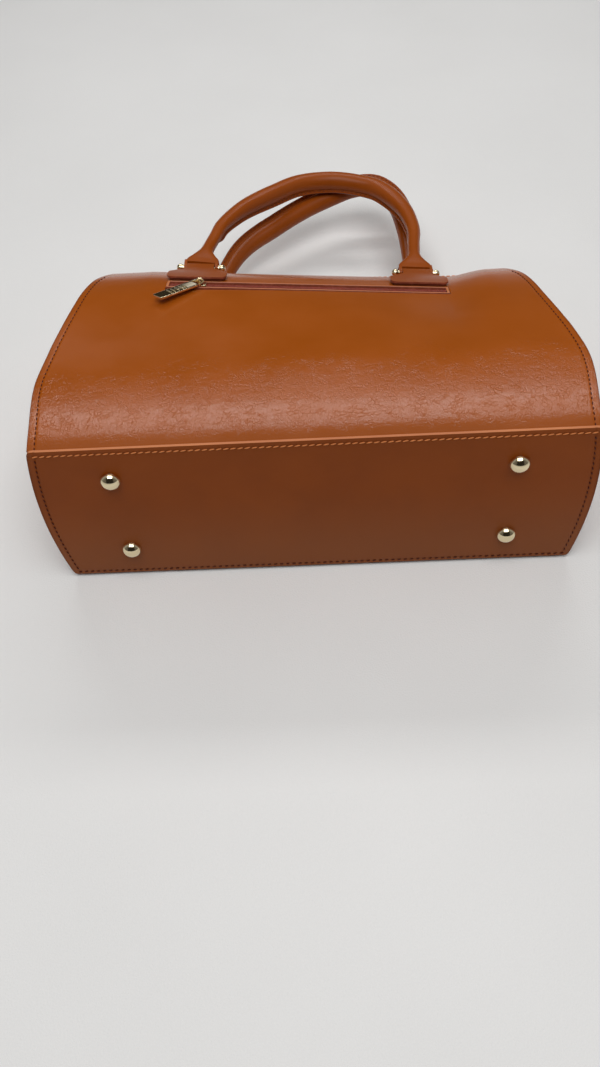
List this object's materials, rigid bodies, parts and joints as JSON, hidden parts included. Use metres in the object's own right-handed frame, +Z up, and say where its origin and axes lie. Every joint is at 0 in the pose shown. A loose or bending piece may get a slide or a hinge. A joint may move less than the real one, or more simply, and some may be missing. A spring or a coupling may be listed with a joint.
{
  "type": "structured handbag",
  "caption": "Structured leather handbag lying on its front panel: flat base with domed feet, curved panels, recessed ends, zipped pocket, top zip, rolled handles hinged on ball-ended pins.",
  "frame": {"origin": "centre of the bounding box in X and Y, at the table under the front panel", "axes": "+X along the bag's length, +Y from the base towards the top and the handles, +Z up from the front panel to the back panel"},
  "size_m": [0.3566, 0.4028, 0.1182],
  "materials": {
    "smooth_leather": "smooth grained leather, satin sheen",
    "base_leather": "smooth grained leather, darker",
    "edge_leather": "pale cut and folded edge",
    "pale_gold": "polished plating",
    "plain_steel": "plain",
    "zip_tape": "woven tape",
    "zip_coil": "moulded nylon",
    "lining_cloth": "plain weave",
    "fibreboard": "pressed board",
    "core_rope": "twisted cotton rope"
  },
  "bodies": {
    "bag_body": {"back_panel": "smooth_leather", "back_tab_left": "smooth_leather", "back_tab_right": "smooth_leather", "base_board": "fibreboard", "base_panel": "base_leather", "foot_back_left": "pale_gold", "foot_back_right": "pale_gold", "foot_front_left": "pale_gold", "foot_front_right": "pale_gold", "foot_washer_back_left": "plain_steel", "foot_washer_back_right": "plain_steel", "foot_washer_front_left": "plain_steel", "foot_washer_front_right": "plain_steel", "front_panel": "smooth_leather", "front_tab_left": "smooth_leather", "front_tab_right": "smooth_leather", "left_end_panel": "smooth_leather", "lining": "lining_cloth", "pocket_lower_coil": "zip_coil", "pocket_lower_tape": "zip_tape", "pocket_pouch": "lining_cloth", "pocket_upper_coil": "zip_coil", "pocket_upper_tape": "zip_tape", "pocket_welt": "edge_leather", "right_end_panel": "smooth_leather", "top_back_coil": "zip_coil", "top_back_tape": "zip_tape", "top_front_coil": "zip_coil", "top_front_tape": "zip_tape", "top_zip_tab_left": "smooth_leather", "top_zip_tab_right": "smooth_leather"},
    "back_handle_set": {"back_handle": "smooth_leather", "back_handle_core": "core_rope", "back_pin_left": "pale_gold", "back_pin_right": "pale_gold"},
    "front_handle_set": {"front_handle": "smooth_leather", "front_handle_core": "core_rope", "front_pin_left": "pale_gold", "front_pin_right": "pale_gold"},
    "pocket_slider_body": {"pocket_slider": "pale_gold"},
    "pocket_puller_body": {"pocket_puller": "pale_gold"},
    "top_slider_body": {"top_slider": "pale_gold"},
    "top_puller_body": {"top_puller": "pale_gold"}
  },
  "joints": [
    {"name": "back_handle_swing", "type": "hinge", "parent": "bag_body", "child": "back_handle_set", "pos_m": [0.00026, 0.03212, 0.07203], "axis": [0.9964, -0.0074, -0.0844], "range_deg": [0, 96]},
    {"name": "front_handle_swing", "type": "hinge", "parent": "bag_body", "child": "front_handle_set", "pos_m": [0, 0.02671, 0.01096], "axis": [1, 0, 0], "range_deg": [-111, 0]},
    {"name": "pocket_slider_travel", "type": "slide", "parent": "bag_body", "child": "pocket_slider_body", "axis": [0.9964, -0.0074, -0.0844], "range_m": [-0.009, 0.168]},
    {"name": "pocket_puller_swing", "type": "hinge", "parent": "pocket_slider_body", "child": "pocket_puller_body", "pos_m": [-0.0798, -0.00524, 0.0953], "axis": [0.7537, -0.6402, 0.1486], "range_deg": [-110, 0]},
    {"name": "top_slider_travel", "type": "slide", "parent": "bag_body", "child": "top_slider_body", "axis": [0.9992, -0.0035, -0.0398], "range_m": [-0.002, 0.236]},
    {"name": "top_puller_swing", "type": "hinge", "parent": "top_slider_body", "child": "top_puller_body", "pos_m": [-0.118, 0.04932, 0.04386], "axis": [-0.04, -0.0871, -0.9954], "range_deg": [-110, 0]}
  ]
}
